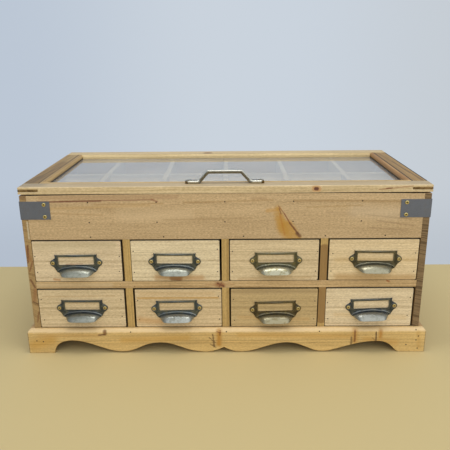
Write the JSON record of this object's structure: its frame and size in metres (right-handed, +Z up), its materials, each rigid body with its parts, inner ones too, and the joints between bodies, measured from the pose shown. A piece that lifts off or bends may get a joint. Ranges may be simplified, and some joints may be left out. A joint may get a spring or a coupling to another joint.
{
  "type": "haberdashery cabinet",
  "caption": "Table-top pine haberdashery cabinet: small drawers with cup pulls under a divided tray, closed by a hinged glazed lid, on a scalloped plinth.",
  "frame": {"origin": "on the floor, below the centre of the overall box", "axes": "+Z up, +X to the right, the drawers face -Y"},
  "size_m": [0.616, 0.3102, 0.2837],
  "materials": {
    "pine": "waxed, satin",
    "pine_drawer": "waxed, satin",
    "glass": "clear",
    "pull_metal": "antique bronze, satin",
    "handle_metal": "antique pewter",
    "bracket_steel": "dull steel",
    "brass": "satin",
    "pin_steel": "dark"
  },
  "bodies": {
    "case": {"panel_pins": "pin_steel", "corner_brackets": "bracket_steel", "hinge_body_leaves": "brass", "hinge_pins": "brass", "case_screws": "brass", "left_side_panel": "pine", "right_side_panel": "pine", "back_panel": "pine", "front_panel": "pine", "tray_floor": "pine", "drawer_shelf": "pine", "base_panel": "pine", "drawer_dividers": "pine", "tray_long_divider": "pine", "tray_cross_dividers": "pine", "plinth_front": "pine", "plinth_left": "pine", "plinth_right": "pine"},
    "lid": {"hinge_lid_leaves": "brass", "hinge_lid_screws": "brass", "lid_handle": "handle_metal", "lid_handle_screws": "handle_metal", "lid_front_rail": "pine", "lid_back_rail": "pine", "lid_left_rail": "pine", "lid_right_rail": "pine", "lid_glass": "glass", "lid_glass_beads": "pine"},
    "drawer_1": {"drawer_1_front": "pine_drawer", "drawer_1_box": "pine_drawer", "drawer_1_pull": "pull_metal", "drawer_1_pull_screws": "brass"},
    "drawer_2": {"drawer_2_front": "pine_drawer", "drawer_2_box": "pine_drawer", "drawer_2_pull": "pull_metal", "drawer_2_pull_screws": "brass"},
    "drawer_3": {"drawer_3_front": "pine_drawer", "drawer_3_box": "pine_drawer", "drawer_3_pull": "pull_metal", "drawer_3_pull_screws": "brass"},
    "drawer_4": {"drawer_4_front": "pine_drawer", "drawer_4_box": "pine_drawer", "drawer_4_pull": "pull_metal", "drawer_4_pull_screws": "brass"},
    "drawer_5": {"drawer_5_front": "pine_drawer", "drawer_5_box": "pine_drawer", "drawer_5_pull": "pull_metal", "drawer_5_pull_screws": "brass"},
    "drawer_6": {"drawer_6_front": "pine_drawer", "drawer_6_box": "pine_drawer", "drawer_6_pull": "pull_metal", "drawer_6_pull_screws": "brass"},
    "drawer_7": {"drawer_7_front": "pine_drawer", "drawer_7_box": "pine_drawer", "drawer_7_pull": "pull_metal", "drawer_7_pull_screws": "brass"},
    "drawer_8": {"drawer_8_front": "pine_drawer", "drawer_8_box": "pine_drawer", "drawer_8_pull": "pull_metal", "drawer_8_pull_screws": "brass"}
  },
  "joints": [
    {"name": "lid_hinge", "type": "hinge", "parent": "case", "child": "lid", "pos_m": [0, 0.15275, 0.2527], "axis": [-1, 0, 0], "range_deg": [0, 95]},
    {"name": "drawer_1_slide", "type": "slide", "parent": "case", "child": "drawer_1", "axis": [0, -1, 0], "range_m": [0, 0.2]},
    {"name": "drawer_2_slide", "type": "slide", "parent": "case", "child": "drawer_2", "axis": [0, -1, 0], "range_m": [0, 0.2]},
    {"name": "drawer_3_slide", "type": "slide", "parent": "case", "child": "drawer_3", "axis": [0, -1, 0], "range_m": [0, 0.2]},
    {"name": "drawer_4_slide", "type": "slide", "parent": "case", "child": "drawer_4", "axis": [0, -1, 0], "range_m": [0, 0.2]},
    {"name": "drawer_5_slide", "type": "slide", "parent": "case", "child": "drawer_5", "axis": [0, -1, 0], "range_m": [0, 0.2]},
    {"name": "drawer_6_slide", "type": "slide", "parent": "case", "child": "drawer_6", "axis": [0, -1, 0], "range_m": [0, 0.2]},
    {"name": "drawer_7_slide", "type": "slide", "parent": "case", "child": "drawer_7", "axis": [0, -1, 0], "range_m": [0, 0.2]},
    {"name": "drawer_8_slide", "type": "slide", "parent": "case", "child": "drawer_8", "axis": [0, -1, 0], "range_m": [0, 0.2]}
  ]
}
